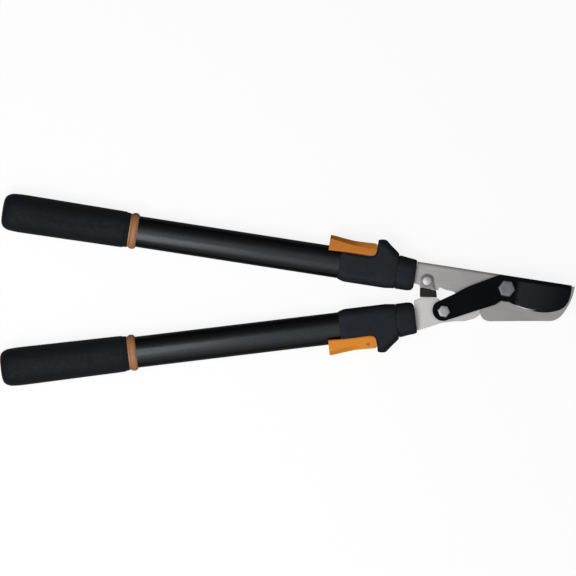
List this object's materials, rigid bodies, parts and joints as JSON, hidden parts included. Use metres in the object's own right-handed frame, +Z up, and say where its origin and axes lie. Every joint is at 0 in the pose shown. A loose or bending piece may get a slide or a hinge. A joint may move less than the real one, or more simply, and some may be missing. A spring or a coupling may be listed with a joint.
{
  "type": "telescopic bypass lopper",
  "caption": "Two-handed bypass lopper with a geared-down blade, sliding handles with flip locks and long soft grips.",
  "frame": {"origin": "middle of the closed tool's underside, as it lies flat", "axes": "+X along the line midway between the handles, towards the blade; +Y towards the upper handle; +Z up, to the side with the bolt heads"},
  "size_m": [0.6376, 0.2134, 0.031],
  "materials": {
    "satin_steel": "satin rolled steel",
    "bright_steel": "zinc plated",
    "black_coating": "smooth non-stick coating",
    "brass": "turned",
    "gloss_black_paint": "gloss",
    "bare_aluminium": "drawn tube",
    "dark_moulding": "fine spark texture",
    "orange_moulding": "satin",
    "grip_rubber": "soft matte",
    "bush_moulding": "plain"
  },
  "bodies": {
    "upper_arm": {"bumper": "grip_rubber", "bumper_rivet": "bright_steel", "fulcrum_pin": "bright_steel", "fulcrum_washer": "bright_steel", "hook_plate": "satin_steel", "main_pivot_bolt": "bright_steel", "main_pivot_nut": "bright_steel", "main_pivot_washer": "bright_steel", "upper_collar": "dark_moulding", "upper_inner_guide": "bush_moulding", "upper_inner_tube": "bare_aluminium", "upper_tang_pin_1": "bare_aluminium", "upper_tang_pin_2": "bare_aluminium"},
    "lower_arm": {"lower_collar": "dark_moulding", "lower_inner_guide": "bush_moulding", "lower_inner_tube": "bare_aluminium", "lower_plate": "satin_steel", "lower_tang_pin_1": "bare_aluminium", "lower_tang_pin_2": "bare_aluminium"},
    "blade_and_arm": {"blade": "black_coating", "drive_bolt": "bright_steel", "drive_nut": "bright_steel", "drive_spacer": "brass", "drive_washer": "bright_steel"},
    "upper_handle": {"upper_grip": "grip_rubber", "upper_grip_ring": "orange_moulding", "upper_housing_screw": "bright_steel", "upper_lever_pin": "bright_steel", "upper_lock_housing": "dark_moulding", "upper_mouth_bush": "bush_moulding", "upper_outer_tube": "gloss_black_paint", "upper_tube_plug": "bush_moulding"},
    "upper_lever": {"upper_lock_lever": "orange_moulding"},
    "upper_shoe": {"upper_brake_shoe": "bush_moulding"},
    "lower_handle": {"lower_grip": "grip_rubber", "lower_grip_ring": "orange_moulding", "lower_housing_screw": "bright_steel", "lower_lever_pin": "bright_steel", "lower_lock_housing": "dark_moulding", "lower_mouth_bush": "bush_moulding", "lower_outer_tube": "gloss_black_paint", "lower_tube_plug": "bush_moulding"},
    "lower_lever": {"lower_lock_lever": "orange_moulding"},
    "lower_shoe": {"lower_brake_shoe": "bush_moulding"}
  },
  "joints": [
    {"name": "lower_arm_hinge", "type": "hinge", "parent": "upper_arm", "child": "lower_arm", "pos_m": [0.20859, -0.00267, 0.0155], "axis": [0, 0, 1], "range_deg": [0, 57]},
    {"name": "blade_hinge", "type": "hinge", "parent": "upper_arm", "child": "blade_and_arm", "pos_m": [0.24321, 0.01052, 0.0155], "axis": [0, 0, 1], "range_deg": [0, 28.5]},
    {"name": "upper_slide", "type": "slide", "parent": "upper_arm", "child": "upper_handle", "axis": [-0.9907, 0.1363, 0], "range_m": [0, 0.3]},
    {"name": "upper_lever_hinge", "type": "hinge", "parent": "upper_handle", "child": "upper_lever", "pos_m": [0.08976, 0.05365, 0.0155], "axis": [0, 0, -1], "range_deg": [0, 65]},
    {"name": "upper_shoe_slide", "type": "slide", "parent": "upper_handle", "child": "upper_shoe", "axis": [0.1363, 0.9907, 0], "range_m": [0, 0.001]},
    {"name": "lower_slide", "type": "slide", "parent": "lower_arm", "child": "lower_handle", "axis": [-0.9907, -0.1363, 0], "range_m": [0, 0.3]},
    {"name": "lower_lever_hinge", "type": "hinge", "parent": "lower_handle", "child": "lower_lever", "pos_m": [0.09084, -0.05365, 0.0155], "axis": [0, 0, 1], "range_deg": [0, 65]},
    {"name": "lower_shoe_slide", "type": "slide", "parent": "lower_handle", "child": "lower_shoe", "axis": [0.1363, -0.9907, 0], "range_m": [0, 0.001]}
  ],
  "couplings": [
    {"joint": "blade_hinge", "follows": "lower_arm_hinge", "ratio": 0.5},
    {"joint": "upper_shoe_slide", "follows": "upper_lever_hinge", "m_per_rad": 0.000881},
    {"joint": "lower_shoe_slide", "follows": "lower_lever_hinge", "m_per_rad": 0.000881}
  ]
}
